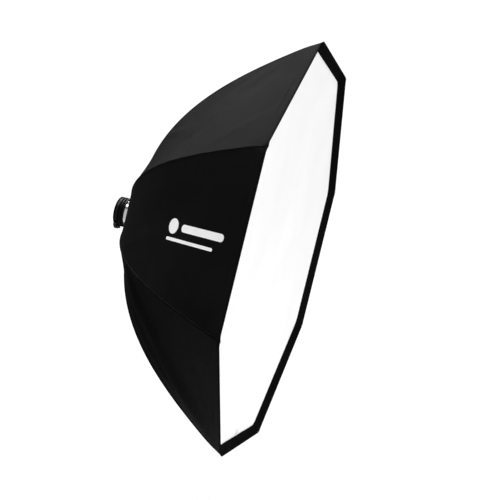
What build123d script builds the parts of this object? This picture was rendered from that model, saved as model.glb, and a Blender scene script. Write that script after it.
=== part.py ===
from build123d import *
import os
from math import cos, degrees, radians, sin, sqrt, tan

# Studio softbox, an eight-sided one, held by its clamp collar.
# Millimetres. The optical axis is Y: the lip faces -Y, the collar's mouth faces +Y, and +Z is up.
# The origin is on the axis, at the collar's rear face.

# ---- Driving dimensions -------------------------------------------------------------------------

ACROSS_FLATS = 1500.0       # lip's front edge, flat to flat
DEPTH = 702.0               # collar's rear face to the lip's front edge
SIDES = 8

# Seam over a rod, followed from the lip to the ring. Its slope is measured from the radial
# direction, and falls by SEAM_BEND * s^2 + SEAM_SPRING * s^3 radians, with s in metres.
SEAM_SLOPE = 58.1
SEAM_BEND = 0.779
SEAM_SPRING = 0.229
SEAM_LENGTH = 966.0
SEAM_SPANS = 12

FABRIC = 0.9                # shell fabric with its lining
DIFFUSION_CLOTH = 0.7
STITCH_GAP = 0.2            # between neighbouring sewn pieces
SAME_BODY_GAP = 0.3
RUNNING_GAP = 0.05          # radial, shaft in hole

ROD_RADIUS = 4.0
ROD_INSET = 8.0             # seam to the rod's centre line
ROD_START = 66.0            # along the seam, where the rod meets its tip cap
ROD_END_RADIUS = 83.0       # rod's inner end, from the optical axis
TIP_RADIUS = 5.2
TIP_LENGTH = 12.0
POCKET = (54.0, 62.0)       # width across the corner, length along the seam
POCKET_START = 52.0

LIP_DEPTH = 27.0            # front edge to the lip band's inner edge
LIP_INNER = 724.0           # apothem of that inner edge
LIP_THICK = 2.4
DIFFUSER_EDGE = 723.2       # apothem
DIFFUSER_FRONT = -674.5
TAPE_WIDTH = 22.0
TAPE_THICK = 1.5
LEDGE_INNER = 700.0

PRINT_NEAR, PRINT_FAR = 0.05, 0.35      # the film's two faces, out from the panel
PRINT_DOT = (325.0, 377.0)              # from and to, along the seam
PRINT_DASHES = ((90.0, 305.0, 26.0, 0.0), (130.0, 377.0, 11.0, -44.0))  # from, to, height, z

BAFFLE_Y = -372.0
BAFFLE_CORNER = 530.0
STRAP_WIDTH = 14.0
CLIP_WALL = 1.6
CLIP_LENGTH = 8.0

BORE_RADIUS = 50.0          # for a flash head 100 mm across
COLLAR_LENGTH = 42.0
COLLAR_RADIUS = 58.0
GROOVE_RADIUS = 55.5
GROOVES = (-10.0, -21.0, -32.0)
GROOVE_WIDTH = 5.0
SLIT_WIDTH = 3.0
SPIGOT_REAR = -36.0
SPIGOT_RADIUS = 52.5

BARREL_RADIUS = 55.0
BARREL_INNER = 50.6
FLANGE_Y = (-79.0, -74.0)
FLANGE_RADIUS = 76.0
HUB_RADIUS = 70.0
HUB_FRONT = -99.3
SPEEDRING_Y = (-99.0, -79.3)
SPEEDRING_BORE = 72.0
SPEEDRING_RADIUS = 86.0
SOCKET_RADIUS = 7.0
SOCKET_OUTER = 100.0
SCREW_CIRCLE = 64.0

# Latch, drawn in the plane across the axis: u is +X, w points down, away from the axis.
LATCH_Y = GROOVES[0]
LEVER_PIVOT = (-7.0, 64.5)
BAIL_PIVOT = (-16.0, 64.5)
BAIL_BAR_U = 15.0
PIN_RADIUS = 1.5
WIRE_RADIUS = 1.2
BAIL_ARM_Y = 8.0
EAR_Y = (3.0, 4.2)
CHEEK_Y = (4.6, 5.8)
SHEET = 1.2

# ---- Derived ------------------------------------------------------------------------------------

HALF_ANGLE = 180.0 / SIDES
TO_APOTHEM = cos(radians(HALF_ANGLE))
CORNER_RADIUS = ACROSS_FLATS / 2 / TO_APOTHEM
PARTS = {}


def save(name, *solids):
    """Keep a node: one solid, or a group of separate ones."""
    PARTS[name] = solids[0] if len(solids) == 1 else Compound(children=list(solids))


def turned(shape, angle):
    """Turn about the optical axis, from +X towards +Z."""
    return shape.rotate(Axis.Y, -angle)


def all_round(shape, start):
    """Eight copies about the optical axis, the first one at the start angle."""
    return [turned(shape, start + i * 360 / SIDES) for i in range(SIDES)]


def lathe(*points):
    """Revolve an outline of (radius, y) points about the optical axis."""
    return revolve(make_face(Polyline(*points, close=True)), Axis.Y)


def tube(inner, outer, rear, front):
    return lathe((inner, rear), (outer, rear), (outer, front), (inner, front))


# ---- Shell --------------------------------------------------------------------------------------


def seam_slope(s):
    metres = s / 1000
    return SEAM_SLOPE - degrees(SEAM_BEND * metres**2 + SEAM_SPRING * metres**3)


def seam_point(s, inset=0.0):
    """(radius, y) at s along the seam from the lip, moved inwards by the inset."""
    steps = 60
    radius, y = CORNER_RADIUS, -DEPTH
    for i in range(steps):
        slope = radians(seam_slope((i + 0.5) * s / steps))
        radius -= cos(slope) * s / steps
        y += sin(slope) * s / steps
    slope = radians(seam_slope(s))
    return radius - inset * sin(slope), y - inset * cos(slope)


def panel_point(s, inset=0.0):
    """(apothem, y) on the middle line of a panel, at the same y as the seam beside it."""
    radius, y = seam_point(s)
    slope = radians(seam_slope(s))
    run, rise = cos(slope) * TO_APOTHEM, sin(slope)
    length = sqrt(run**2 + rise**2)
    return radius * TO_APOTHEM - inset * rise / length, y - inset * run / length


def panel_apothem(y, inset):
    """The apothem of the panel's surface at a given y, near the lip."""
    low, high = 0.0, SEAM_LENGTH
    for _ in range(40):
        middle = (low + high) / 2
        if panel_point(middle, inset)[1] < y:
            low = middle
        else:
            high = middle
    return panel_point(low, inset)[0]


def wedge(gap):
    """The eighth of space about +X that one panel lies in, less half a gap at each side."""
    reach = 1000.0
    apex = gap / 2 / sin(radians(HALF_ANGLE))
    half = (reach - apex) * tan(radians(HALF_ANGLE))
    outline = Polyline((apex, 0, 0), (reach, 0, half), (reach, 0, -half), close=True)
    return extrude(make_face(outline), amount=reach, dir=(0, 1, 0), both=True)


def side_strip(face, gap=STITCH_GAP):
    """A straight strip about +X with this section, mitred to meet its neighbours."""
    return extrude(face, amount=340, dir=(0, 0, 1), both=True) & wedge(gap)


def shell_section(start, end, outer, inner, spans):
    """The section between two insets of the panel, from start to end along the seam."""
    stations = [start + (end - start) * i / spans for i in range(spans + 1)]
    outside = Spline(*[panel_point(s, outer) for s in stations])
    inside = Spline(*[panel_point(s, inner) for s in stations])
    rear = Line(outside @ 1, inside @ 1)
    front = Line(outside @ 0, inside @ 0)
    return make_face([outside, rear, inside, front])


def quad(*points):
    return make_face(Polyline(*points, close=True))


def flat_section(inner, outer, front, rear):
    """Section of a strip that lies square to the axis."""
    return quad((inner, front), (outer, front), (outer, rear), (inner, rear))


def panels():
    panel = side_strip(shell_section(0, SEAM_LENGTH, 0, FABRIC, SEAM_SPANS))
    for i, copy in enumerate(all_round(panel, 45)):
        save(f"shell_panel_{i + 1}", copy)


def lip():
    """Stiff band that runs back and inwards from the front edge, around the recessed diffuser."""
    front, rear = -DEPTH + 0.3, -DEPTH + LIP_DEPTH
    edge = panel_apothem(front, FABRIC + SAME_BODY_GAP)
    band = side_strip(quad(
        (edge, front),
        (LIP_INNER + LIP_THICK, rear),
        (LIP_INNER, rear),
        (edge - LIP_THICK, front),
    ))
    for i, copy in enumerate(all_round(band, 45)):
        save(f"lip_band_{i + 1}", copy)


def ledge():
    """Flap behind the recess, and the loop tape on it that the diffuser fastens to."""
    tape_front = DIFFUSER_FRONT + DIFFUSION_CLOTH + TAPE_THICK + 0.3
    flap_front = tape_front + TAPE_THICK
    flap_rear = flap_front + FABRIC
    outer = panel_apothem(flap_rear, FABRIC + SAME_BODY_GAP)
    flap = side_strip(flat_section(LEDGE_INNER, outer, flap_front, flap_rear))
    save("ledge_flap", *all_round(flap, 0))
    tape = side_strip(flat_section(LEDGE_INNER, LEDGE_INNER + TAPE_WIDTH, tape_front, flap_front))
    save("loop_tape", *all_round(tape, 0))


def rear_cuff():
    """Elastic sleeve from the panels' rear edge over the speedring's sockets."""
    start, y = panel_point(SEAM_LENGTH + SAME_BODY_GAP)
    end, end_y = 79.0, -71.0
    section = quad((start, y), (end, end_y), (end, end_y - FABRIC), (start, y - FABRIC))
    pieces = all_round(side_strip(section, 0), 0)
    cuff = pieces[0]
    for piece in pieces[1:]:
        cuff = cuff + piece
    save("rear_cuff", cuff)


def print_film(start, end, height, z):
    """A patch of printed film on the outside of the side panel, at -X."""
    section = shell_section(start, end, -PRINT_FAR, -PRINT_NEAR, 4)
    film = extrude(section, amount=height / 2, dir=(0, 0, 1), both=True)
    return turned(film.moved(Location((0, 0, -z))), 180)


def side_print():
    """A plain printed dot and two dashes on the side panel, which show which side is up."""
    start, end = PRINT_DOT
    radius = (end - start) / 2
    x, y = panel_point(start + radius)
    punch = Solid.make_cylinder(radius, 200, Plane(origin=(-x - 100, y, 0), z_dir=(1, 0, 0)))
    dot = print_film(start, end, 2 * radius, 0) & punch
    save("side_print", dot, *[print_film(*dash) for dash in PRINT_DASHES])


# ---- Diffusers ----------------------------------------------------------------------------------


def octagon(apothem, front, rear):
    corners = [(apothem / TO_APOTHEM, HALF_ANGLE + i * 360 / SIDES) for i in range(SIDES)]
    points = [(r * cos(radians(a)), front, r * sin(radians(a))) for r, a in corners]
    return extrude(make_face(Polyline(*points, close=True)), amount=rear - front, dir=(0, 1, 0))


def front_diffuser():
    cloth_rear = DIFFUSER_FRONT + DIFFUSION_CLOTH
    tape_rear = cloth_rear + TAPE_THICK
    save("front_diffuser", octagon(DIFFUSER_EDGE, DIFFUSER_FRONT, cloth_rear))
    strip = side_strip(flat_section(DIFFUSER_EDGE - TAPE_WIDTH, DIFFUSER_EDGE, cloth_rear, tape_rear))
    save("diffuser_border", *all_round(strip, 0))
    tab = Box(40, 1.0, 24).moved(Location((0, DIFFUSER_FRONT - 0.5, -DIFFUSER_EDGE + 14)))
    save("pull_tab", tab)


def inner_baffle():
    apothem = BAFFLE_CORNER * TO_APOTHEM
    cloth_rear = BAFFLE_Y + DIFFUSION_CLOTH
    save("inner_baffle", octagon(apothem, BAFFLE_Y, cloth_rear))
    strip = side_strip(flat_section(apothem - TAPE_WIDTH, apothem, cloth_rear, cloth_rear + TAPE_THICK))
    save("baffle_border", *all_round(strip, 0))


def baffle_straps(path):
    """At each corner an elastic strap runs out to a clip that grips the rod."""
    low, high = 0.0, 1.0
    for _ in range(30):
        middle = (low + high) / 2
        if (path @ middle).Y < BAFFLE_Y:
            low = middle
        else:
            high = middle
    grip_radius = ROD_RADIUS + RUNNING_GAP
    grip = Cylinder(grip_radius + CLIP_WALL, CLIP_LENGTH) - Cylinder(grip_radius, CLIP_LENGTH + 2)
    clip = Plane(origin=path @ low, z_dir=path % low) * grip
    save("baffle_clips", *all_round(clip, HALF_ANGLE))
    start, end = BAFFLE_CORNER + SAME_BODY_GAP, (path @ low).X - 2 * ROD_RADIUS
    strap = Box(end - start, TAPE_THICK, STRAP_WIDTH)
    strap = strap.moved(Location(((start + end) / 2, BAFFLE_Y + TAPE_THICK / 2, 0)))
    save("baffle_straps", *all_round(strap, HALF_ANGLE))


# ---- Rods ---------------------------------------------------------------------------------------


def rod_path():
    """Tangent arcs along the seam, then a straight stretch in the socket."""
    spans = SEAM_SPANS
    stations = [ROD_START + (SEAM_LENGTH - ROD_START) * i / spans for i in range(spans + 1)]
    point = Vector(*seam_point(ROD_START, ROD_INSET))
    heading = radians(seam_slope(ROD_START))
    direction = Vector(-cos(heading), sin(heading))
    edges = []
    for start, end in zip(stations, stations[1:]):
        turn = seam_slope(start) - seam_slope(end)
        bend = (end - start) / radians(turn) - ROD_INSET
        arc = JernArc(start=point, tangent=direction, radius=bend, arc_size=turn)
        edges.append(arc)
        point, direction = arc @ 1, arc % 1
    reach = (point.X - ROD_END_RADIUS) / -direction.X
    edges.append(Line(point, point + direction * reach))
    return Wire(edges)


def rods(path):
    section = Plane(origin=path @ 0, z_dir=path % 0) * Circle(ROD_RADIUS)
    rod = sweep(section, path=path)
    print("rod: swept volume over section times length", rod.volume / (section.area * path.length))
    for i, copy in enumerate(all_round(rod, HALF_ANGLE)):
        save(f"rod_{i + 1}", copy)


def rod_tips(path):
    """Rounded cap on each rod's front end, and the sewn pocket that it pushes into."""
    back = Plane(origin=path @ 0, z_dir=(path % 0) * -1)
    body = Cylinder(TIP_RADIUS, TIP_LENGTH, align=(Align.CENTER, Align.CENTER, Align.MIN))
    dome = Sphere(TIP_RADIUS).moved(Location((0, 0, TIP_LENGTH)))
    keep = Cylinder(TIP_RADIUS + 1, 3 * TIP_LENGTH, align=(Align.CENTER, Align.CENTER, Align.MIN))
    save("rod_tips", *all_round(back * ((body + dome) & keep), HALF_ANGLE))
    middle = POCKET_START + POCKET[1] / 2
    inset = ROD_INSET + TIP_RADIUS + SAME_BODY_GAP + FABRIC / 2
    slope = radians(seam_slope(middle))
    place = Plane(
        origin=(*seam_point(middle, inset), 0),
        x_dir=(-cos(slope), sin(slope), 0),
        z_dir=(-sin(slope), -cos(slope), 0),
    )
    pocket = place * Box(POCKET[1], POCKET[0], FABRIC)
    save("corner_pockets", *all_round(pocket, HALF_ANGLE))


def sockets(path):
    """Plastic sleeve for each rod, set in a blind radial hole of the speedring."""
    end, heading = path @ 1, path % 1
    floor = 4.0
    outwards = Plane(origin=end + heading * floor, z_dir=heading * -1)
    length = (SOCKET_OUTER - end.X) / -heading.X + floor
    from_floor = (Align.CENTER, Align.CENTER, Align.MIN)
    bore = Cylinder(ROD_RADIUS + RUNNING_GAP, length, align=from_floor).moved(Location((0, 0, floor)))
    sleeve = outwards * (Cylinder(SOCKET_RADIUS, length, align=from_floor) - bore)
    hole = outwards * Cylinder(SOCKET_RADIUS + RUNNING_GAP, length, align=from_floor)
    for i, copy in enumerate(all_round(sleeve, HALF_ANGLE)):
        save(f"rod_socket_{i + 1}", copy)
    return all_round(hole, HALF_ANGLE)


def speedring(holes):
    """Cast ring that turns on the adapter and carries the eight rods."""
    front, rear = SPEEDRING_Y
    chamfer = 3.0
    ring = lathe(
        (SPEEDRING_BORE, rear), (SPEEDRING_RADIUS - chamfer, rear), (SPEEDRING_RADIUS, rear - chamfer),
        (SPEEDRING_RADIUS, front + chamfer), (SPEEDRING_RADIUS - chamfer, front), (SPEEDRING_BORE, front),
    )
    for hole in holes:
        ring = ring - hole
    save("speedring", ring)


# ---- Adapter ------------------------------------------------------------------------------------


def grip_collar():
    """Ribbed rubber collar, slit below the latch so that the band can close it on a flash head."""
    collar = lathe(
        (BORE_RADIUS, 0), (COLLAR_RADIUS - 1, 0), (COLLAR_RADIUS, -1), (COLLAR_RADIUS, 1 - COLLAR_LENGTH),
        (COLLAR_RADIUS - 1, -COLLAR_LENGTH), (SPIGOT_RADIUS, -COLLAR_LENGTH), (SPIGOT_RADIUS, SPIGOT_REAR),
        (BORE_RADIUS, SPIGOT_REAR),
    )
    for y in GROOVES:
        half = GROOVE_WIDTH / 2
        slope = 0.8
        collar = collar - lathe(
            (GROOVE_RADIUS, y - half), (COLLAR_RADIUS + 1, y - half - slope),
            (COLLAR_RADIUS + 1, y + half + slope), (GROOVE_RADIUS, y + half),
        )
    slit = Box(SLIT_WIDTH, 30, 20).moved(Location((0, -15, -BORE_RADIUS - 5)))
    save("grip_collar", collar - slit)


def adapter_ring():
    """Polished barrel, the flange behind the speedring and the hub that it turns on."""
    ring = lathe(
        (BARREL_INNER, SPIGOT_REAR), (SPIGOT_RADIUS, SPIGOT_REAR), (SPIGOT_RADIUS, -COLLAR_LENGTH),
        (BARREL_RADIUS, -COLLAR_LENGTH), (BARREL_RADIUS, FLANGE_Y[1]), (FLANGE_RADIUS - 1, FLANGE_Y[1]),
        (FLANGE_RADIUS, FLANGE_Y[1] - 1), (FLANGE_RADIUS, FLANGE_Y[0]), (HUB_RADIUS, FLANGE_Y[0]),
        (HUB_RADIUS, HUB_FRONT), (58, HUB_FRONT), (58, FLANGE_Y[0] - 3), (BARREL_INNER, FLANGE_Y[0]),
    )
    ring = ring - Compound(children=screw_row(1.95, HUB_FRONT, HUB_FRONT + 9))
    save("adapter_ring", ring)
    rear, front = FLANGE_Y[0] - SAME_BODY_GAP, HUB_FRONT + SAME_BODY_GAP
    save("glide_ring", tube(HUB_RADIUS + 0.02, SPEEDRING_BORE - RUNNING_GAP, rear, front))


def screw_row(radius, front, rear):
    stud = Solid.make_cylinder(radius, rear - front, Plane(origin=(SCREW_CIRCLE, front, 0), z_dir=(0, 1, 0)))
    return all_round(stud, 0)


def retaining_ring():
    front, rear = HUB_FRONT - 3.0, HUB_FRONT
    holes = Compound(children=screw_row(2.2, front - 1, rear + 1))
    save("retaining_ring", tube(58, FLANGE_RADIUS, rear, front) - holes)
    heads = screw_row(3.6, front - 2.4, front)
    studs = screw_row(1.9, front, rear + 8)
    keys = screw_row(1.4, front - 2.4, front - 1.0)
    save("retaining_screws", *[head + stud - key for head, stud, key in zip(heads, studs, keys)])


def clamp_band():
    half = GROOVE_WIDTH / 2 - SAME_BODY_GAP
    band = tube(GROOVE_RADIUS + RUNNING_GAP, GROOVE_RADIUS + 1.05, LATCH_Y + half, LATCH_Y - half)
    gap = Box(7, 10, 20).moved(Location((0, LATCH_Y, -GROOVE_RADIUS)))
    save("clamp_band", band - gap)


def latch_plate(outline, low, high):
    """Extrude a (u, w) outline along the axis, from low to high about the latch's middle plane."""
    points = [(u, LATCH_Y + low, -w) for u, w in outline]
    return extrude(make_face(Polyline(*points, close=True)), amount=high - low, dir=(0, 1, 0))


def latch_rod(centre, radius, low, high):
    place = Plane(origin=(centre[0], LATCH_Y + low, -centre[1]), z_dir=(0, 1, 0))
    return Solid.make_cylinder(radius, high - low, place)


def seat(low_u, high_u):
    """Foot of a latch piece: a stem that reaches down between the ribs to the clamp band."""
    half = GROOVE_WIDTH / 2 - SAME_BODY_GAP
    stem = latch_plate([(low_u, 50), (high_u, 50), (high_u, 59), (low_u, 59)], -half, half)
    return stem - tube(1, GROOVE_RADIUS + 1.07, LATCH_Y + 5, LATCH_Y - 5)


def latch_base():
    """Plate with two ears that hold the lever's pin."""
    u, w = LEVER_PIVOT
    inner, outer = EAR_Y
    base = latch_plate([(-20, 58.4), (-3.6, 58.4), (-3.6, 59.6), (-20, 59.6)], -outer, outer)
    base = base + seat(-18, -5)
    for low, high in ((-outer, -inner), (inner, outer)):
        ear = latch_plate([(u - 2.6, 59), (u + 2.6, 59), (u + 2.6, w), (u - 2.6, w)], low, high)
        ear = ear + latch_rod(LEVER_PIVOT, 2.6, low, high)
        base = base + ear
    base = base - latch_rod(LEVER_PIVOT, PIN_RADIUS + 0.01, -outer - 1, outer + 1)
    save("latch_base", base)
    save("latch_pin", latch_rod(LEVER_PIVOT, PIN_RADIUS, -CHEEK_Y[1], CHEEK_Y[1]))


def latch_hook():
    """Plate on the band's other end, with the upright lip that the bail's bar pulls on."""
    lip_u = BAIL_BAR_U - WIRE_RADIUS - 0.4
    hook = latch_plate([(3.6, 58.4), (lip_u, 58.4), (lip_u, 59.6), (3.6, 59.6)], -6, 6)
    hook = hook + latch_plate([(lip_u - 1.6, 58.4), (lip_u, 58.4), (lip_u, 66.6), (lip_u - 1.6, 66.6)], -6, 6)
    save("latch_hook", hook + seat(4.4, lip_u))


def latch_lever():
    """Sheet-metal lever: a web outside, and two cheeks that carry the pin and the bail."""
    web_top = LEVER_PIVOT[1] + 3.1
    outside = [(-8, web_top + SHEET), (-20, web_top + SHEET), (-33, 61.8), (-43, 51.5)]
    inside = [(-42.2, 50.4), (-32.4, 60.5), (-19.7, web_top), (-8, web_top)]
    lever = latch_plate(outside + inside, -CHEEK_Y[1], CHEEK_Y[1])
    cheek = [
        (-8, web_top + 0.4), (-3.9, 65), (-3.9, 61.6), (-18, 61.6),
        (-32, 55), (-41, 51.6), (-32.6, 61), (-20, web_top + 0.4),
    ]
    for low, high in ((-CHEEK_Y[1], -CHEEK_Y[0]), (CHEEK_Y[0], CHEEK_Y[1])):
        lever = lever + latch_plate(cheek, low, high)
    for centre, radius in ((LEVER_PIVOT, PIN_RADIUS), (BAIL_PIVOT, WIRE_RADIUS)):
        lever = lever - latch_rod(centre, radius + RUNNING_GAP, -10, 10)
    save("latch_lever", lever)


def latch_bail():
    """Wire loop: its two ends turn in the lever's cheeks, and its bar hooks over the lip."""
    u, w = BAIL_PIVOT
    route = [
        (u, CHEEK_Y[0] + 0.1), (u, BAIL_ARM_Y), (BAIL_BAR_U, BAIL_ARM_Y),
        (BAIL_BAR_U, -BAIL_ARM_Y), (u, -BAIL_ARM_Y), (u, -CHEEK_Y[0] - 0.1),
    ]
    points = [Vector(a, LATCH_Y + b, -w) for a, b in route]
    path = FilletPolyline(*points, radius=1.8)
    section = Plane(origin=path @ 0, z_dir=path % 0) * Circle(WIRE_RADIUS)
    save("latch_bail", sweep(section, path=path))


# ---- Build --------------------------------------------------------------------------------------

panels()
lip()
ledge()
rear_cuff()
side_print()
front_diffuser()
inner_baffle()
centre_line = rod_path()
baffle_straps(centre_line)
rods(centre_line)
rod_tips(centre_line)
speedring(sockets(centre_line))
grip_collar()
adapter_ring()
retaining_ring()
clamp_band()
latch_base()
latch_hook()
latch_lever()
latch_bail()

os.makedirs("parts", exist_ok=True)
for node, shape in PARTS.items():
    export_step(shape, f"parts/{node}.step")
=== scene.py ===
from math import cos, pi, radians, sin, tan

import bpy
import numpy as np
from mathutils import Matrix, Vector


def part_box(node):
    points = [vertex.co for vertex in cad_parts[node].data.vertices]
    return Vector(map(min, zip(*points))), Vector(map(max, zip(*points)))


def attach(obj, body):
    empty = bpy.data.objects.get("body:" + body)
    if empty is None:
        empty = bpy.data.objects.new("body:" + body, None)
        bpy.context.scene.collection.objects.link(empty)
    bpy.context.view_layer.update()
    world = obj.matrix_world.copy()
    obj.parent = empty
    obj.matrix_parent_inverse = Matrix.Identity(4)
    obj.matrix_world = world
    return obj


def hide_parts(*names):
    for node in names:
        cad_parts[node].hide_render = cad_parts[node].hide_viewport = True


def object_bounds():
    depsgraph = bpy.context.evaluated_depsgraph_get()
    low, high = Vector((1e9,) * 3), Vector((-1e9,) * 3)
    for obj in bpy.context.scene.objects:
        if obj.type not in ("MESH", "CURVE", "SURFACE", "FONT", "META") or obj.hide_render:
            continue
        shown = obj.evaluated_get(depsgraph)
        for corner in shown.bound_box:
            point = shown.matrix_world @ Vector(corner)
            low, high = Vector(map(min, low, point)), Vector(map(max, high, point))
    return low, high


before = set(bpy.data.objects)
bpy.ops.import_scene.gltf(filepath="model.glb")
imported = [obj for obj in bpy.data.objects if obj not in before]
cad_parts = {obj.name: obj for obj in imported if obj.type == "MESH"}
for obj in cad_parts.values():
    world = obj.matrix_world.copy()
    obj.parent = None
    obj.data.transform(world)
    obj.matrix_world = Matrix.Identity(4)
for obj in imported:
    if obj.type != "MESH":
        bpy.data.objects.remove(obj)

# Looks for the eight-sided studio softbox. Metres. The lip faces -Y, the collar's mouth +Y, up is +Z.
# Panel k is centred at 45 k degrees from +X towards +Z, and rod k stands half a panel before it.

CAD_LOW, CAD_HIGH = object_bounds()
RNG = np.random.default_rng(7)

# ---- The shell's shape ------------------------------------------------------------------------

SIDES = 8
STEP = 2 * pi / SIDES
HALF = STEP / 2
APOTHEM = (CAD_HIGH.x - CAD_LOW.x) / 2
LIP_Y = CAD_LOW.y
SEAM_SLOPE = radians(58.1)      # at the lip, from the radial direction
SEAM_BEND, SEAM_SPRING = 0.779, 0.229
SEAM_LENGTH = 0.966
FABRIC = 0.0009

_stations = np.linspace(0.0, SEAM_LENGTH + 0.02, 2001)
_slopes = SEAM_SLOPE - (SEAM_BEND * _stations**2 + SEAM_SPRING * _stations**3)
_middles = (_slopes[1:] + _slopes[:-1]) / 2
_steps = np.diff(_stations)
_radii = APOTHEM / cos(HALF) - np.concatenate([[0], np.cumsum(np.cos(_middles) * _steps)])
_depths = LIP_Y + np.concatenate([[0], np.cumsum(np.sin(_middles) * _steps)])


def seam(s):
    """Radius, y and slope of the seam at s metres from the lip."""
    return tuple(np.interp(s, _stations, table) for table in (_radii, _depths, _slopes))


def half_width(s):
    return seam(s)[0] * sin(HALF)


def on_panel(panel, s, t, out=0.0):
    """Points on a panel: s along it from the lip, t from -1 at one seam to 1 at the next, out along its normal."""
    radius, y, slope = seam(s)
    run, rise = np.cos(slope) * cos(HALF), np.sin(slope)
    length = np.hypot(run, rise)
    outwards = radius * cos(HALF) + out * rise / length
    along = y + out * run / length
    across = t * outwards * tan(HALF)
    angle = panel * STEP
    return np.stack(np.broadcast_arrays(
        outwards * cos(angle) - across * sin(angle),
        along,
        outwards * sin(angle) + across * cos(angle),
    ), -1)


# Folds: (panel, s and t where it starts, s and t where it ends, widths there, height)
FOLDS = (
    (5, 0.64, -0.98, 0.06, 0.90, 0.016, 0.046, 0.0210),
    (5, 0.68, -0.80, 0.32, 0.36, 0.012, 0.026, -0.0110),
    (5, 0.66, -0.36, 0.40, 0.34, 0.012, 0.022, 0.0055),
    (5, 0.70, 0.30, 0.02, 0.94, 0.018, 0.030, 0.0080),
    (5, 0.26, -0.99, 0.05, 0.45, 0.020, 0.040, -0.0045),
    (3, 0.08, -0.98, 0.42, -0.20, 0.016, 0.040, 0.0024),
    (3, 0.34, 0.96, 0.05, 0.30, 0.016, 0.040, 0.0020),
    (3, 0.72, -0.90, 0.42, 0.15, 0.012, 0.032, 0.0024),
    (3, 0.60, 0.92, 0.30, 0.00, 0.012, 0.036, -0.0020),
    (4, 0.10, 0.97, 0.36, 0.50, 0.014, 0.040, 0.0014),
    (4, 0.70, 0.90, 0.40, 0.10, 0.014, 0.040, 0.0018),
    (6, 0.60, -0.95, 0.10, 0.60, 0.014, 0.040, 0.0060),
    (6, 0.34, 0.96, 0.06, -0.10, 0.014, 0.034, -0.0040),
    (7, 0.62, 0.95, 0.10, -0.55, 0.014, 0.040, 0.0070),
    (7, 0.60, 0.40, 0.22, -0.80, 0.012, 0.030, -0.0045),
    (8, 0.12, -0.97, 0.40, -0.40, 0.014, 0.036, 0.0020),
    (1, 0.30, 0.97, 0.06, 0.20, 0.014, 0.036, 0.0024),
    (2, 0.66, -0.92, 0.30, 0.20, 0.014, 0.036, 0.0020),
)
TENSION = 0.006                 # how far the cloth is drawn in, half way between two rods
PUCKER = 0.0009                 # height of the small puckers beside each seam
PUCKER_REACH, PUCKER_PITCH = 0.026, 0.11
SEAM_ROUND = 0.005              # radius of the cloth over a rod
CORNER_ROUND, CORNER_REACH = 0.060, 0.05    # extra radius at the soft front corners, and how far back it goes
WAVE_COUNT, WAVE_LENGTHS, WAVE_STEEPNESS = 7, (0.09, 0.30), 0.0010


def corner_radius(s):
    """Radius that the cloth takes round a rod, larger at the soft front corners."""
    return SEAM_ROUND + CORNER_ROUND * np.exp(-((s / CORNER_REACH) ** 2))


def rounding(from_corner, radius):
    """How far a rounded corner falls inside a side that is straight up to the corner."""
    reach = radius * tan(HALF)
    return radius - np.sqrt(radius**2 - np.clip(reach - from_corner, 0, None) ** 2)


def waves():
    """A few long soft waves for one panel, as (direction, wave number, phase, height)."""
    made = []
    for _ in range(WAVE_COUNT):
        angle, length = RNG.uniform(0, pi), RNG.uniform(*WAVE_LENGTHS)
        made.append((angle, 2 * pi / length, RNG.uniform(0, 2 * pi), WAVE_STEEPNESS * length))
    return made


WAVES = {panel: waves() for panel in range(1, SIDES + 1)}
PUCKER_PHASES = RNG.uniform(0, 2 * pi, SIDES)


def relief(panel, s, t):
    """How far the cloth of a panel stands off the straight surface between its rods.

    It is drawn in half way, rounded over the rods, puckered beside the seams, and has waves and folds that fade
    out at the seams and the lip.
    """
    across = t * half_width(s)
    share = np.clip(s / SEAM_LENGTH, 0, 1)
    out = -TENSION * np.sin(pi * share) * (1 - t**2)
    free = np.clip(1 - t**6, 0, 1) * np.clip(s / 0.05, 0, 1)
    from_seam = (1 - np.abs(t)) * half_width(s)
    out = out - rounding(from_seam, corner_radius(s))
    beside = from_seam / PUCKER_REACH
    phase = PUCKER_PHASES[(panel - (t < 0)) % SIDES]
    uneven = 0.55 + 0.45 * np.sin(17 * s + 2 * phase)
    pucker = np.sin(2 * pi * s / PUCKER_PITCH + phase + 2 * np.sin(7 * s + phase)) * uneven
    fade = np.clip(s / 0.03, 0, 1) * np.clip(1.1 - share, 0, 1)
    out = out + PUCKER * pucker * beside * np.exp(1 - beside) * fade
    for angle, number, phase, height in WAVES[panel]:
        out = out + free * height * np.sin(number * (across * cos(angle) + s * sin(angle)) + phase)
    for on, s0, t0, s1, t1, w0, w1, height in FOLDS:
        if on == panel:
            start = np.array([s0, t0 * float(half_width(s0))])
            end = np.array([s1, t1 * float(half_width(s1))])
            line = end - start
            length = np.hypot(*line)
            ds, db = s - start[0], across - start[1]
            along = np.clip((ds * line[0] + db * line[1]) / length**2, 0, 1)
            off = (ds * line[1] - db * line[0]) / length
            width = w0 + (w1 - w0) * along
            out = out + free * height * np.sin(pi * along) ** 0.7 * np.exp(-((off / width) ** 2))
    return out


# ---- Materials --------------------------------------------------------------------------------


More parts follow.
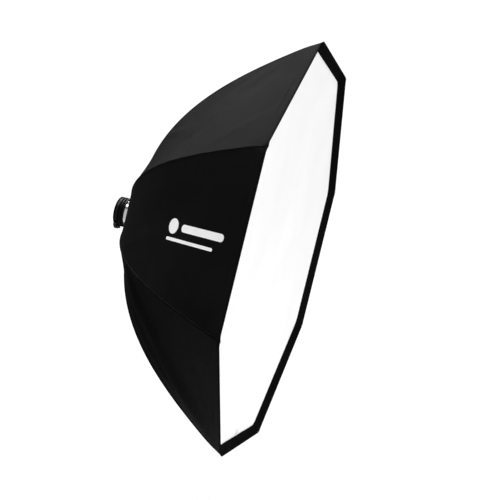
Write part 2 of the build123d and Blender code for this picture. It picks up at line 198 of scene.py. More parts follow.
class Paint:
    """A material's node tree, built step by step."""

    def __init__(self, name, **shader):
        self.material = bpy.data.materials.new(name)
        self.material.use_nodes = True
        self.tree = self.material.node_tree
        self.shader = self.tree.nodes["Principled BSDF"]
        for socket, value in shader.items():
            self.shader.inputs[socket.replace("_", " ")].default_value = value

    def node(self, kind, inputs=None, **settings):
        made = self.tree.nodes.new(kind)
        for key, value in settings.items():
            setattr(made, key, value)
        for key, value in (inputs or {}).items():
            if isinstance(value, bpy.types.NodeSocket):
                self.tree.links.new(value, made.inputs[key])
            else:
                made.inputs[key].default_value = value
        return made

    def math(self, operation, *values):
        return self.node("ShaderNodeMath", dict(enumerate(values)), operation=operation).outputs[0]

    def coordinates(self, kind="Object"):
        return self.node("ShaderNodeTexCoord").outputs[kind]

    def noise(self, where, scale, detail=3.0, roughness=0.55):
        inputs = {"Vector": where, "Scale": scale, "Detail": detail, "Roughness": roughness}
        return self.node("ShaderNodeTexNoise", inputs).outputs["Fac"]

    def ramp(self, factor, *stops):
        made = self.node("ShaderNodeValToRGB", {"Fac": factor})
        elements = made.color_ramp.elements
        while len(elements) < len(stops):
            elements.new(0.5)
        for element, (position, colour) in zip(elements, stops):
            element.position = position
            element.color = colour if len(colour) == 4 else (*colour, 1)
        return made.outputs["Color"]

    def spread(self, factor, low, high):
        inputs = {"Value": factor, "From Min": 0.25, "From Max": 0.75, "To Min": low, "To Max": high}
        return self.node("ShaderNodeMapRange", inputs).outputs[0]

    def bump(self, height, distance, strength=1.0, under=None):
        inputs = {"Height": height, "Distance": distance, "Strength": strength}
        if under is not None:
            inputs["Normal"] = under
        return self.node("ShaderNodeBump", inputs).outputs[0]

    def set(self, **links):
        for socket, value in links.items():
            self.tree.links.new(value, self.shader.inputs[socket.replace("_", " ")])
        return self.material


def grey(value, alpha=1.0):
    return (value, value, value, alpha)


def weave_height(paint, where, pitch):
    """Height of a plain weave whose yarns are a pitch apart, from 0 to 1."""
    split = paint.node("ShaderNodeSeparateXYZ", {"Vector": where})
    sines = [paint.math("SINE", paint.math("MULTIPLY", split.outputs[axis], pi / pitch)) for axis in "XY"]
    rounds = [paint.math("ABSOLUTE", sine) for sine in sines]
    over = paint.math("GREATER_THAN", paint.math("MULTIPLY", *sines), 0.0)
    mix = paint.node("ShaderNodeMix", {0: over, 2: rounds[0], 3: rounds[1]})
    return mix.outputs[0]


def woven(name, dark, light, pitch, roughness, gloss, wave=0.25, mottle=5.0, **shader):
    """Woven cloth: yarns in relief, colour that drifts a little, and a rougher nap here and there."""
    paint = Paint(name, Specular_IOR_Level=gloss, **shader)
    uv, place = paint.coordinates("UV"), paint.coordinates()
    weave = weave_height(paint, uv, pitch)
    drift = paint.noise(place, mottle, 4.0)
    fibres = paint.noise(uv, 900.0, 2.0)
    tone = paint.math("ADD", paint.math("MULTIPLY", drift, 0.7), paint.math("MULTIPLY", fibres, 0.3))
    colour = paint.ramp(tone, (0.3, dark), (0.7, light))
    crease = paint.bump(paint.noise(place, 38.0, 3.0), 0.0025, wave)
    normal = paint.bump(weave, pitch * 0.25, 0.6, crease)
    rough = paint.spread(drift, roughness - 0.06, roughness + 0.06)
    return paint.set(Base_Color=colour, Roughness=rough, Normal=normal)


def lining():
    """Crinkled silver coating inside the shell."""
    paint = Paint("silver_lining", Metallic=0.85)
    place = paint.coordinates()
    crinkle = paint.noise(place, 70.0, 5.0, 0.6)
    colour = paint.ramp(crinkle, (0.3, grey(0.55)), (0.7, grey(0.72)))
    normal = paint.bump(crinkle, 0.003, 0.5)
    return paint.set(Base_Color=colour, Roughness=paint.spread(crinkle, 0.32, 0.5), Normal=normal)


def moulded(name, dark, light, roughness, grain=450.0, depth=0.0002, **shader):
    """Moulded plastic, rubber or textured paint: a fine grain, and slightly uneven gloss."""
    paint = Paint(name, **shader)
    place = paint.coordinates()
    fine, broad = paint.noise(place, grain, 3.0), paint.noise(place, 30.0, 3.0)
    colour = paint.ramp(broad, (0.3, dark), (0.7, light))
    normal = paint.bump(fine, depth, 0.5)
    rough = paint.spread(broad, roughness - 0.08, roughness + 0.08)
    return paint.set(Base_Color=colour, Roughness=rough, Normal=normal)


def metal(name, dark, light, roughness, stretch, depth=0.00006):
    """Turned or rolled metal: fine marks drawn out along one axis."""
    paint = Paint(name, Metallic=1.0)
    place = paint.node("ShaderNodeMapping", {"Vector": paint.coordinates(), "Scale": stretch}).outputs[0]
    marks, broad = paint.noise(place, 1.0, 4.0), paint.noise(paint.coordinates(), 45.0, 3.0)
    colour = paint.ramp(broad, (0.3, dark), (0.7, light))
    normal = paint.bump(marks, depth, 0.35)
    rough = paint.spread(marks, roughness * 0.7, roughness * 1.3)
    return paint.set(Base_Color=colour, Roughness=rough, Normal=normal)


# The blacks are deep and hardly glossy, as nearly all that they could mirror is a white room.
SHELL = woven("shell_cloth", grey(0.0038), grey(0.0062), 0.0011, 0.58, 0.012)
LIP = woven("lip_cloth", grey(0.0025), grey(0.0045), 0.0011, 0.66, 0.01)
TAPE = woven("tape_weave", grey(0.0018), grey(0.0032), 0.0016, 0.75, 0.006)
PILE = woven("loop_pile", grey(0.008), grey(0.016), 0.0022, 0.9, 0.1, wave=0.6)
WHITE = woven("diffusion_cloth", grey(0.90), grey(0.95), 0.0009, 0.75, 0.2, wave=0.1)
WHITE_TAPE = woven("white_webbing", grey(0.78), grey(0.86), 0.0016, 0.7, 0.3)
THREAD = moulded("thread", grey(0.018), grey(0.03), 0.55, 2500.0, 0.0001, Specular_IOR_Level=0.1)
WHITE_THREAD = moulded("white_thread", grey(0.75), grey(0.85), 0.55, 2500.0, 0.0001)
INK = moulded("printed_ink", grey(0.90), grey(0.96), 0.5, 1200.0, 0.0001)
LINING = lining()
RUBBER = moulded("collar_rubber", grey(0.003), grey(0.005), 0.45, 500.0, 0.00015, Specular_IOR_Level=0.06)
CAST = moulded("cast_black", grey(0.010), grey(0.016), 0.45, 900.0, 0.0003)
NYLON = moulded("nylon", (0.62, 0.60, 0.55), (0.70, 0.68, 0.62), 0.4)
PLASTIC = moulded("black_plastic", grey(0.012), grey(0.018), 0.4)
FIBRE = moulded("rod_fibre", grey(0.010), grey(0.018), 0.3, 260.0, 0.0001, Coat_Weight=0.3)
RED = moulded("socket_red", (0.42, 0.025, 0.018), (0.50, 0.035, 0.025), 0.38)
PALE = moulded("socket_plain", grey(0.42), grey(0.5), 0.4)
POLISHED = metal("polished_barrel", grey(0.86), grey(0.92), 0.16, (60, 2500, 60))
BLACK_STEEL = moulded("black_steel", grey(0.012), grey(0.020), 0.36, 1400.0, 0.0001,
                      Metallic=0.3, Specular_IOR_Level=0.3)


# ---- Mesh building ----------------------------------------------------------------------------


def new_object(name, vertices, faces, materials, uvs=None, smooth_angle=None):
    mesh = bpy.data.meshes.new(name)
    mesh.from_pydata([tuple(map(float, v)) for v in vertices], [], [tuple(map(int, f)) for f in faces])
    for material in materials if isinstance(materials, (list, tuple)) else [materials]:
        mesh.materials.append(material)
    if uvs is not None:
        layer = mesh.uv_layers.new(name="UVMap")
        corners = np.zeros(len(mesh.loops), int)
        mesh.loops.foreach_get("vertex_index", corners)
        layer.data.foreach_set("uv", np.asarray(uvs, float)[corners].ravel())
    mesh.polygons.foreach_set("use_smooth", [True] * len(mesh.polygons))
    if smooth_angle is not None:
        mesh.set_sharp_from_angle(angle=radians(smooth_angle))
    mesh.update()
    made = bpy.data.objects.new(name, mesh)
    bpy.context.scene.collection.objects.link(made)
    return made


def grid_faces(rows, columns, closed=False, start=0):
    """Faces of a grid of points, row by row, closed round its columns if asked."""
    last = columns if closed else columns - 1
    return [
        (start + i * columns + j, start + i * columns + (j + 1) % columns,
         start + (i + 1) * columns + (j + 1) % columns, start + (i + 1) * columns + j)
        for i in range(rows - 1) for j in range(last)
    ]


def thicken(piece, thickness, offset):
    """Gives a sheet its thickness: on its inner side for offset -1, half on each side for 0."""
    solid = piece.modifiers.new("thickness", "SOLIDIFY")
    solid.thickness = thickness
    solid.offset = offset
    return solid


def cloth_from_grid(name, points, uvs, materials, closed=False, flip=False, thickness=FABRIC, smooth_angle=None):
    """A sheet from a grid of points, with its thickness on the inner side and the lining there if given."""
    rows, columns = points.shape[:2]
    faces = grid_faces(rows, columns, closed)
    if flip:
        faces = [face[::-1] for face in faces]
    made = new_object(name, points.reshape(-1, 3), faces, materials, uvs.reshape(-1, 2), smooth_angle)
    solid = thicken(made, thickness, -1)
    solid.material_offset = 1 if isinstance(materials, (list, tuple)) and len(materials) > 1 else 0
    return made


def finish_piece(piece, body, slot, *nodes):
    """Ties a piece to its body and hides the CAD nodes that it stands for. The slot is not used."""
    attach(piece, body)
    if nodes:
        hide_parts(*nodes)
    return piece


def side_stations(columns_per_side):
    """Side numbers and t values of points all round an eight-sided edge, closer together at its corners."""
    ts = np.linspace(-1, 1, columns_per_side, endpoint=False)
    ts = np.sign(ts) * (1 - (1 - np.abs(ts)) ** 1.5)
    sides, ts = np.meshgrid(np.arange(SIDES), ts, indexing="ij")
    return sides.ravel(), ts.ravel()


def round_ring(section, columns_per_side, relief_of=None):
    """A ring of eight mitred sides. section holds (apothem, y) points; relief_of(row, side, t) adds to both."""
    rows = []
    sides, ts = side_stations(columns_per_side)
    for row, (apothem, y) in enumerate(section):
        push = relief_of(row, sides, ts) if relief_of else (0.0, 0.0)
        half = apothem * tan(HALF)
        out = apothem + push[0] - rounding((1 - np.abs(ts)) * half, corner_radius(0.0))
        across = ts * out * tan(HALF)
        angle = sides * STEP
        rows.append(np.stack([
            out * np.cos(angle) - across * np.sin(angle),
            y + push[1] * np.ones(len(ts)),
            out * np.sin(angle) + across * np.cos(angle),
        ], -1))
    points = np.array(rows)
    lengths = np.concatenate([[0], np.cumsum(np.hypot(*np.diff(np.array(section), axis=0).T))])
    around = (sides + (ts + 1) / 2) * 2 * section[0][0] * tan(HALF)
    uvs = np.stack(np.meshgrid(lengths, around, indexing="ij")[::-1], -1)
    return points, uvs


# ---- Shell ------------------------------------------------------------------------------------

GORE_ROWS, GORE_COLUMNS = 170, 61
STITCH_PITCH, STITCH_OFFSET = 0.0046, 0.0037


def gore_area():
    """Cut area of one panel, and its length down the middle."""
    s = np.linspace(0, SEAM_LENGTH, 400)
    slope = seam(s)[2]
    lengths = np.hypot(np.cos(slope) * cos(HALF), np.sin(slope)) * SEAM_LENGTH / len(s)
    return float(np.sum(2 * half_width(s) * lengths)), float(np.sum(lengths))


def gores():
    """Eight sewn panels, black outside and silver inside, drawn in between the rods."""
    area, length = gore_area()
    s, t = np.meshgrid(np.linspace(0.0, SEAM_LENGTH, GORE_ROWS), np.linspace(-1, 1, GORE_COLUMNS), indexing="ij")
    t = np.sign(t) * (1 - (1 - np.abs(t)) ** 1.3)
    made = []
    for panel in range(1, SIDES + 1):
        points = on_panel(panel, s, t, relief(panel, s, t))
        uvs = np.stack([t * half_width(s), s], -1)
        gore = cloth_from_grid(f"gore_{panel}", points, uvs, [SHELL, LINING], flip=True)
        finish_piece(gore, "softbox", "shell_fabric", f"shell_panel_{panel}")
        made.append(gore)
    return made, area, length


def beside_seam(rod, s, offset, lift):
    """Points on the cloth beside a rod's seam: offset metres to one side, lifted off the cloth."""
    panel = (rod - 1 if offset < 0 else rod) or SIDES
    t = (1 - abs(offset) / half_width(s)) * (1 if offset < 0 else -1)
    return on_panel(panel, s, t, relief(panel, s, t) + lift)


def seam_normal(rod, s):
    """Outward normals along a seam."""
    angle, slope = (rod - 0.5) * STEP, seam(s)[2]
    return np.stack([np.sin(slope) * cos(angle), np.cos(slope), np.sin(slope) * sin(angle)], -1)


def seam_tape(rod):
    """Binding over a seam: a narrow folded tape with a raised middle."""
    s = np.linspace(0.0, SEAM_LENGTH, 220)
    offsets = np.array([-4.8, -4.6, -3.0, -1.4, 0.0, 1.4, 3.0, 4.6, 4.8]) / 1000
    lifts = np.array([-0.3, 0.45, 0.6, 1.2, 1.6, 1.2, 0.6, 0.45, -0.3]) / 1000
    lines = [beside_seam(rod, s, offset, lift) for offset, lift in zip(offsets, lifts)]
    points = np.array(lines).transpose(1, 0, 2)
    uvs = np.stack(np.meshgrid(s, offsets, indexing="ij")[::-1], -1)
    made = cloth_from_grid(f"seam_tape_{rod}", points, uvs, TAPE, flip=True, thickness=0.0004)
    return finish_piece(made, "softbox", "webbing")


def stitches(name, places, directions, normals, material, length=0.0032, width=0.0007):
    """A row of sewn stitches: small rounded bars at these places, sunk a little at both ends."""
    ring = [(-1, 0), (-0.5, 0.8), (0.5, 0.8), (1, 0)]
    vertices, faces = [], []
    for place, along, up in zip(places, directions, normals):
        side = np.cross(along, up)
        base = len(vertices)
        for end, lift in ((-0.5, 0.0), (-0.3, 1.0), (0.3, 1.0), (0.5, 0.0)):
            for a, b in ring:
                height = (b * lift - 0.15) * width
                vertices.append(place + along * end * length + side * a * width / 2 + up * height)
        for i in range(3):
            for j in range(3):
                k = base + i * 4 + j
                faces.append((k, k + 1, k + 5, k + 4))
    return new_object(name, vertices, faces, material)


def seam_stitches(rod):
    """A row of top-stitching along each edge of the tape."""
    s = np.arange(0.012, SEAM_LENGTH - 0.01, STITCH_PITCH)
    places, along, up = [], [], []
    for offset in (-STITCH_OFFSET, STITCH_OFFSET):
        line = beside_seam(rod, s, offset, 0.0006)
        ahead = beside_seam(rod, s + 0.001, offset, 0.0006) - line
        places.append(line)
        along.append(ahead / np.linalg.norm(ahead, axis=1)[:, None])
        up.append(seam_normal(rod, s))
    made = stitches(f"seam_stitches_{rod}", *map(np.concatenate, (places, along, up)), THREAD)
    return finish_piece(made, "softbox", "webbing")


# ---- Lip --------------------------------------------------------------------------------------

LIP_INNER, LIP_ROLL = 0.724, 0.0022
LEDGE_INNER = 0.700
RECESS_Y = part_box("front_diffuser")[0].y


def lip_section():
    """From the outside of the shell's front edge, over a soft rolled edge, to the band's inner edge and back."""
    middle = np.array([APOTHEM - LIP_ROLL, LIP_Y + LIP_ROLL])
    turn = [middle + LIP_ROLL * np.array([cos(a), sin(a)]) for a in np.linspace(0.35, -1.15 * pi, 9)]
    edge = np.array([LIP_INNER, RECESS_Y + 0.0003])
    band = [turn[-1] + (edge - turn[-1]) * f for f in (0.12, 0.3, 0.5, 0.7, 0.85, 0.95, 1.0)]
    hem = [edge + np.array([0.0016, 0.0016]), edge + np.array([0.006, -0.0035])]
    flap = ((0.0105, -0.0003), (0.010, 0.0003), (0.005, 0.0004))
    outside = [on_panel(0, s, 0.0, lift)[:2] for s, lift in flap]
    return [tuple(p) for p in outside + turn + band + hem]


def lip():
    """Stiff band round the recess, rolled over the shell's front edge, its inner edge a little wavy."""
    section = lip_section()
    phases = RNG.uniform(0, 2 * pi, (SIDES, 3))

    def ripple(row, sides, t):
        share = np.clip((row - 10) / 9, 0, 1)
        free = np.clip(1 - t**4, 0, 1)
        wave = sum(np.sin((3 + 2.6 * k) * t + phases[sides, k]) for k in range(3)) / 3
        return -0.0030 * share * free * (0.5 + wave), 0.0012 * share * free * wave

    points, uvs = round_ring(section, 40, ripple)
    made = cloth_from_grid("lip_band_cloth", points, uvs, LIP, closed=True, thickness=0.0008, smooth_angle=40)
    finish_piece(made, "softbox", "lip_fabric", *[f"lip_band_{k}" for k in range(1, SIDES + 1)])


def ledge():
    """Flap behind the recess with the loop tape along it."""
    low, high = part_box("ledge_flap")
    tape_low, tape_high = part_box("loop_tape")
    flap_outer, tape_outer = high.x, tape_high.x
    start = LEDGE_INNER
    y = (low.y + high.y) / 2
    phases = RNG.uniform(0, 2 * pi, SIDES)

    def ripple(row, sides, t):
        return 0.0 * t, 0.0006 * np.sin(5 * t + phases[sides]) * (1 - t**2)

    points, uvs = round_ring([(start, y), (start + 0.012, y), (start + 0.022, y), (flap_outer, y)], 24, ripple)
    flap = cloth_from_grid("ledge_flap_cloth", points, uvs, LIP,
                           closed=True, flip=True, thickness=0.0008, smooth_angle=40)
    finish_piece(flap, "softbox", "webbing", "ledge_flap")
    y = (tape_low.y + tape_high.y) / 2 - 0.0003
    section = [(start + 0.0005, y + 0.0005), (start + 0.001, y),
               (tape_outer - 0.001, y), (tape_outer - 0.0005, y + 0.0005)]
    points, uvs = round_ring(section, 24, ripple)
    tape = cloth_from_grid("loop_tape_pile", points, uvs, PILE,
                           closed=True, flip=True, thickness=0.0006, smooth_angle=40)
    finish_piece(tape, "softbox", "hook_tape", "loop_tape")


# ---- Diffusers --------------------------------------------------------------------------------

HOOK_TAPE_WIDTH, BINDING_WIDTH = 0.022, 0.020
BAFFLE_SCALLOP = 0.010          # how far the baffle's edges are drawn in between its corners
STRAP_HALF_WIDTH = 0.0065

def octagon_cloth(name, apothem, y, sag, scallop, material, rows=60, columns=24):
    """A stretched eight-sided sheet: ripples near its edge, edges drawn in by scallop between the corners."""
    sides, ts = side_stations(columns)
    phases = RNG.uniform(0, 2 * pi, (SIDES, 2))
    rings = []
    soft = rounding((1 - np.abs(ts)) * apothem * tan(HALF), corner_radius(0.0))
    for share in np.linspace(0.015, 1.0, rows):
        out = share * (apothem - scallop * share**4 * (1 - ts**2) - share**4 * soft)
        across = ts * share * apothem * tan(HALF)
        angle = sides * STEP
        ripple = np.sin(9 * ts + phases[sides, 0]) + 0.6 * np.sin(16 * ts + phases[sides, 1])
        depth = y + sag * ((1 - share**2) * 0.6 + 0.25 * share**6 * ripple * (1 - ts**2) * (1 - share) * 8)
        rings.append(np.stack([
            out * np.cos(angle) - across * np.sin(angle), depth, out * np.sin(angle) + across * np.cos(angle)
        ], -1))
    points = np.array(rings)
    vertices = np.concatenate([points.reshape(-1, 3), [[0, y + 0.6 * sag, 0]]])
    count = SIDES * columns
    faces = grid_faces(rows, count, closed=True)
    faces += [(len(vertices) - 1, (j + 1) % count, j) for j in range(count)]
    uvs = vertices[:, [0, 2]]
    made = new_object(name, vertices, faces, material, uvs)
    thicken(made, 0.0005, -1)
    return made


def edge_stitches(name, apothem, y, material, pitch=0.006):
    """Stitches round an eight-sided sheet, side by side."""
    places, along = [], []
    for side in range(SIDES):
        angle = side * STEP
        half = apothem * tan(HALF)
        for across in np.arange(-half + 0.004, half - 0.002, pitch):
            places.append(np.array([
                apothem * cos(angle) - across * sin(angle), y, apothem * sin(angle) + across * cos(angle)
            ]))
            along.append(np.array([-sin(angle), 0, cos(angle)]))
    up = [np.array([0.0, -1.0, 0.0])] * len(places)
    return stitches(name, places, along, up, material, length=0.004)


def front_diffuser():
    """The front cloth with its hook tape, stitching and tab."""
    low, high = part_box("front_diffuser")
    apothem = high.x
    sheet = octagon_cloth("diffuser_cloth", apothem, low.y + 0.0002, 0.0016, 0.0, WHITE, rows=70)
    finish_piece(sheet, "front_diffuser", "diffusion_fabric", "front_diffuser")
    border_low, border_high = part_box("diffuser_border")
    y = (border_low.y + border_high.y) / 2
    inner = apothem - HOOK_TAPE_WIDTH
    section = [(inner, y - 0.0003), (inner + 0.0005, y + 0.0003),
               (apothem - 0.0005, y + 0.0003), (apothem, y - 0.0003)]
    points, uvs = round_ring(section, 24)
    border = cloth_from_grid("diffuser_hook_tape", points, uvs, WHITE_TAPE,
                             closed=True, thickness=0.0008, smooth_angle=40)
    finish_piece(border, "front_diffuser", "white_tape", "diffuser_border")
    rows = edge_stitches("diffuser_stitches", inner + 0.003, low.y + 0.0002, WHITE_THREAD)
    finish_piece(rows, "front_diffuser", "white_tape")
    tab = pull_tab()


def pull_tab():
    """Loop of tape at the lowest side, bowed forwards."""
    low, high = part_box("pull_tab")
    rows, columns = 12, 9
    v, u = np.meshgrid(np.linspace(0, 1, rows), np.linspace(-1, 1, columns), indexing="ij")
    x = u * (high.x - low.x) / 2 * (1 - 0.25 * v**3)
    z = high.z - 0.002 - v * (high.z - low.z - 0.002) * 0.96
    y = low.y + 0.0008 - 0.0022 * np.sin(pi * v) * (1 - 0.3 * u**2)
    points = np.stack([x, y, z], -1)
    made = cloth_from_grid("pull_tab_loop", points, points[..., [0, 2]], WHITE_TAPE, thickness=0.0007)
    return finish_piece(made, "front_diffuser", "white_tape", "pull_tab")


def inner_baffle():
    """The second diffuser inside, hung from the rods by straps at its corners."""
    low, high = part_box("inner_baffle")
    apothem = high.x
    sheet = octagon_cloth("baffle_cloth", apothem, low.y + 0.0002, 0.003, BAFFLE_SCALLOP, WHITE, rows=50)
    finish_piece(sheet, "softbox", "diffusion_fabric", "inner_baffle")
    border_low, border_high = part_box("baffle_border")
    y = (border_low.y + border_high.y) / 2
    inner = apothem - BINDING_WIDTH

    def drawn_in(row, sides, t):
        return -BAFFLE_SCALLOP * (1 - t**2), 0.0 * t

    section = [(inner, y), (inner + 0.0006, y + 0.0005), (apothem - 0.0006, y + 0.0005), (apothem, y)]
    points, uvs = round_ring(section, 24, drawn_in)
    border = cloth_from_grid("baffle_binding", points, uvs, WHITE_TAPE,
                             closed=True, thickness=0.0007, smooth_angle=40)
    finish_piece(border, "softbox", "white_tape", "baffle_border")
    straps = baffle_straps()


def baffle_straps():
    """Elastic from each corner of the baffle, round the rod's clip and back."""
    low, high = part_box("baffle_straps")
    y = (low.y + high.y) / 2
    reach = high.x / cos(HALF) - 0.0015
    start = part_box("inner_baffle")[1].x / cos(HALF) - 0.010
    vertices, faces, uvs = [], [], []
    lengths, widths = np.linspace(0, 1, 14), np.array([-1.0, -0.9, 0.0, 0.9, 1.0])
    for rod in range(SIDES):
        angle = (rod + 0.5) * STEP
        base = len(vertices)
        for f in lengths:
            for w in widths:
                radius = start + (reach - start) * f
                side = w * STRAP_HALF_WIDTH * (1 - 0.2 * sin(pi * f))
                lift = 0.0006 * sin(6 * pi * f) - 0.0006 * abs(w)
                x, z = radius * cos(angle) - side * sin(angle), radius * sin(angle) + side * cos(angle)
                vertices.append((x, y + lift, z))
                uvs.append((side, radius))
        faces += grid_faces(len(lengths), len(widths), start=base)
    made = new_object("baffle_straps_elastic", vertices, faces, WHITE_TAPE, uvs)
    thicken(made, 0.001, 0)
    return finish_piece(made, "softbox", "white_tape", "baffle_straps")


# ---- Rear cuff, pockets, print ----------------------------------------------------------------


CUFF_MOUTH, CUFF_HEM, CUFF_LENGTH = 0.0795, 0.0016, 0.034
POCKET_START, POCKET_LENGTH, POCKET_HALF_WIDTH, POCKET_DEPTH = 0.052, 0.062, 0.027, 0.0143

# Printed marks, a dot and two dashes: (s where it starts, s where it ends, height, distance up the panel)
PRINT_PANEL, INK_LIFT = 4, 0.00025
PRINT = ((0.325, 0.377, 0.052, 0.0), (0.090, 0.305, 0.026, 0.0), (0.130, 0.377, 0.011, -0.044))


def rear_cuff():
    """Gathered sleeve over the rod sockets, closed by elastic."""
    start = on_panel(0, SEAM_LENGTH, 0.0)[:2]
    end = np.array([CUFF_MOUTH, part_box("rear_cuff")[1].y - 0.0006])
    rows, columns = 26, 24 * SIDES
    angle = np.arange(columns) / columns * 2 * pi
    ruffle = np.sin(36 * angle) + 0.5 * np.sin(23 * angle + 1)
    within = (angle + HALF) % STEP - HALF
    eight = 1 / np.cos(within)
    points = []
    for share in np.linspace(0, 1, rows):
        radius = (start[0] + (end[0] - start[0]) * share) * (eight * (1 - share) + share * 1.0)
        gather = 0.0014 * share**1.5 * ruffle
        bow = 0.0012 * sin(pi * share)
        y = start[1] + (end[1] - start[1]) * share + bow + gather
        points.append(np.stack([radius * np.cos(angle), y, radius * np.sin(angle)], -1))
    for turn in np.linspace(0, 1.3 * pi, 8):
        radius = end[0] - CUFF_HEM * sin(turn)
        y = end[1] - CUFF_HEM * (1 - cos(turn)) + 0.0014 * ruffle
        points.append(np.stack([radius * np.cos(angle), y, radius * np.sin(angle)], -1))
    points = np.array(points)
    uvs = np.stack(np.meshgrid(np.linspace(0, 0.04, len(points)), angle * 0.1, indexing="ij")[::-1], -1)
    made = cloth_from_grid("rear_cuff_cloth", points, uvs, SHELL, closed=True, flip=True, thickness=0.0008)
    finish_piece(made, "softbox", "shell_fabric", "rear_cuff")


def corner_pockets():
    """At each corner a sewn patch closes a pocket over the rod's tip."""
    vertices, faces, uvs = [], [], []
    lengths, widths = np.linspace(0, 1, 16), np.linspace(-1, 1, 15)
    for rod in range(1, SIDES + 1):
        s = POCKET_START + POCKET_LENGTH * lengths
        radius, y, _ = seam(s)
        normal = seam_normal(rod, s)
        angle = (rod - 0.5) * STEP
        sideways = np.array([-sin(angle), 0.0, cos(angle)])
        place = np.stack([radius * cos(angle), y, radius * sin(angle)], -1)
        base = len(vertices)
        for i, f in enumerate(lengths):
            for w in widths:
                half = POCKET_HALF_WIDTH * (1 - 0.25 * f)
                inset = POCKET_DEPTH + 0.0012 * cos(pi * w / 2) * (1 - f)
                vertices.append(place[i] + w * half * sideways - inset * normal[i])
                uvs.append((w * half, s[i]))
        faces += grid_faces(len(lengths), len(widths), start=base)
    made = new_object("corner_pocket_patches", vertices, faces, TAPE, uvs)
    thicken(made, FABRIC, 0)
    finish_piece(made, "softbox", "webbing", "corner_pockets")


def side_print():
    """A dot and two dashes in pale ink that follow the side panel's cloth."""
    vertices, faces, uvs = [], [], []
    for start, end, height, z in PRINT:
        radius = height / 2
        length = (end - start) / 2
        u = np.concatenate([
            -length + radius * (1 - np.cos(np.linspace(0.05, pi / 2, 12))),
            np.linspace(-length + radius, length - radius, 40)[1:-1] if length > radius * 1.01 else [],
            length - radius * (1 - np.cos(np.linspace(pi / 2, 0.05, 12))),
        ])
        u = u[np.concatenate([[True], np.diff(u) > 1e-6])]
        edge = np.sqrt(np.clip(radius**2 - np.clip(np.abs(u) - (length - radius), 0, None) ** 2, 0, None))
        v = np.linspace(-1, 1, 9)
        s = (start + end) / 2 + u[:, None] + 0 * v[None, :]
        across = -(z + edge[:, None] * v[None, :])
        t = across / half_width(s)
        points = on_panel(PRINT_PANEL, s, t, relief(PRINT_PANEL, s, t) + INK_LIFT)
        base = len(vertices)
        vertices += list(points.reshape(-1, 3))
        uvs += list(np.stack([across, s], -1).reshape(-1, 2))
        faces += [face[::-1] for face in grid_faces(len(u), len(v), start=base)]
    made = new_object("side_print_ink", vertices, faces, INK, uvs)
    return finish_piece(made, "softbox", "print_ink", "side_print")


# ---- Collar and hardware ----------------------------------------------------------------------


def grip_collar():
    """Ribbed rubber collar with rounded ribs, and a slit under the latch."""
    outer, root, bore, spigot = 0.058, 0.0556, 0.050, 0.0525
    length, spigot_y = 0.042, -0.036
    grooves = (-0.010, -0.021, -0.032)
    edge = 0.002
    profile = [(bore, spigot_y), (bore, -0.0008), (bore + 0.0008, 0.0), (outer - edge, 0.0)]
    profile += [(outer - edge + edge * sin(a), edge * cos(a) - edge) for a in np.linspace(0.3, pi / 2, 5)]
    for groove in grooves:
        half = 0.0028
        for share in np.linspace(-1, 1, 13):
            dip = (0.5 + 0.5 * cos(pi * share)) ** 0.55
            profile.append((outer - (outer - root) * dip, groove - share * half))
    profile += [(outer - edge + edge * sin(a), edge - edge * cos(a) - length) for a in np.linspace(pi / 2, 0.3, 5)]
    profile += [(spigot, -length), (spigot, spigot_y)]
    slit_half = 0.0015
    start = -pi / 2 + slit_half / bore
    angles = start + np.linspace(0, 2 * pi - 2 * slit_half / bore, 200)
    points = np.array([[(r * cos(a), y, r * sin(a)) for r, y in profile] for a in angles])
    rows, columns = points.shape[:2]
    faces = [face[::-1] for face in grid_faces(rows, columns, closed=True)]
    faces += [tuple(range(columns)), tuple(range((rows - 1) * columns, rows * columns))[::-1]]
    uvs = [(a * outer, y) for a in angles for r, y in profile]
    made = new_object("grip_collar_rubber", points.reshape(-1, 3), faces, RUBBER, uvs, smooth_angle=50)
    return finish_piece(made, "adapter", "rubber", "grip_collar")


HARDWARE = {
    "adapter_ring": POLISHED, "glide_ring": NYLON, "retaining_ring": CAST, "retaining_screws": BLACK_STEEL,
    "speedring": CAST, "clamp_band": BLACK_STEEL, "latch_base": BLACK_STEEL, "latch_pin": BLACK_STEEL,
    "latch_hook": BLACK_STEEL, "latch_lever": BLACK_STEEL, "latch_bail": BLACK_STEEL,
    "rod_tips": PLASTIC, "baffle_clips": PLASTIC,
}
BEVELS = {
    "adapter_ring": 0.0006, "retaining_ring": 0.0006, "speedring": 0.0008, "latch_lever": 0.0003,
    "latch_base": 0.0003, "latch_hook": 0.0003, "retaining_screws": 0.0003,
}


def hardware():
    """CAD pieces whose shape is right as it is: they get their finish, and the hard ones softened edges."""
    finishes = dict(HARDWARE)
    for k in range(1, SIDES + 1):
        finishes[f"rod_{k}"] = FIBRE
        finishes[f"rod_socket_{k}"] = RED if k in (1, 4, 5, 8) else PALE
    for name, material in finishes.items():
        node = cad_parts[name]
        node.data.materials.clear()
        node.data.materials.append(material)
        if name in BEVELS:
            bevel = node.modifiers.new("softened_edges", "BEVEL")
            bevel.width = BEVELS[name]
            bevel.segments = 2
            bevel.limit_method = "ANGLE"
            bevel.angle_limit = radians(35)


# ---- Stage ------------------------------------------------------------------------------------


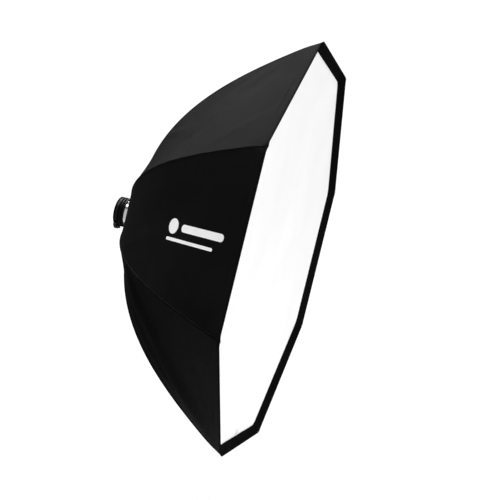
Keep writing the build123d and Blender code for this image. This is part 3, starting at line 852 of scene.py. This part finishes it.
def stage():
    """White studio: a pale floor, a soft key over the back, and softer lights on the front and near side.

    Only the camera sees the world as white. For everything else the room is dim, so that black cloth stays black.
    """
    radius, middle, count = 1.8, Vector((-0.6, -1.35, -1.25)), 96
    turns = np.linspace(0, 2 * pi, count, endpoint=False)
    corners = [Vector((radius * cos(a), radius * sin(a), 0.0)) + middle for a in turns]
    floor = new_object("floor", corners, [tuple(range(count))],
                       moulded("pale_floor", grey(0.62), grey(0.64), 0.8, 40.0, 0.0001, Specular_IOR_Level=0.1))
    world = bpy.data.worlds.new("studio")
    bpy.context.scene.world = world
    world.use_nodes = True
    tree = world.node_tree
    room, backdrop = tree.nodes["Background"], tree.nodes.new("ShaderNodeBackground")
    room.inputs["Color"].default_value = grey(1.0)
    room.inputs["Strength"].default_value = 0.12
    backdrop.inputs["Color"].default_value = grey(1.0)
    backdrop.inputs["Strength"].default_value = 1.1
    mix, path = tree.nodes.new("ShaderNodeMixShader"), tree.nodes.new("ShaderNodeLightPath")
    tree.links.new(path.outputs["Is Camera Ray"], mix.inputs[0])
    tree.links.new(room.outputs[0], mix.inputs[1])
    tree.links.new(backdrop.outputs[0], mix.inputs[2])
    tree.links.new(mix.outputs[0], tree.nodes["World Output"].inputs["Surface"])
    soft_sun("key", (0.35, 0.60, 0.72), 3.9, 35)
    soft_sun("front_light", (-0.1, -0.95, 0.25), 2.7, 50)
    soft_sun("side_fill", (-0.75, 0.45, -0.25), 0.6, 90)
    soft_sun("raking_light", (-0.45, 0.20, 0.87), 2.4, 12)
    bpy.context.scene.view_settings.view_transform = "Standard"


def soft_sun(name, towards, strength, angle):
    """A light far away in one direction, as soft as its angle in degrees is wide."""
    data = bpy.data.lights.new(name, "SUN")
    data.energy = strength
    data.angle = radians(angle)
    made = bpy.data.objects.new(name, data)
    bpy.context.scene.collection.objects.link(made)
    made.rotation_euler = Vector(towards).to_track_quat("Z", "Y").to_euler()
    return made


def camera():
    """Camera at the picture's angle, rolled with it."""
    data = bpy.data.cameras.new("camera")
    data.sensor_width = 36.0
    data.lens = 70.92
    data.clip_end = 100
    made = bpy.data.objects.new("camera", data)
    bpy.context.scene.collection.objects.link(made)
    right, up, back = (0.2215, -0.9454, 0.2390), (-0.0398, 0.2362, 0.9709), (-0.9743, -0.2246, 0.0147)
    turn = Matrix([right, up, back]).transposed()
    made.matrix_world = Matrix.Translation((-3.676, -1.402, 0.031)) @ turn.to_4x4()
    bpy.context.scene.camera = made


# ---- Assembly ---------------------------------------------------------------------------------

gore_pieces, flat_area, flat_length = gores()
for rod_number in range(1, SIDES + 1):
    tape_piece = seam_tape(rod_number)
    stitch_piece = seam_stitches(rod_number)
lip()
ledge()
front_diffuser()
inner_baffle()
rear_cuff()
corner_pockets()
side_print()
grip_collar()
hardware()
stage()
camera()
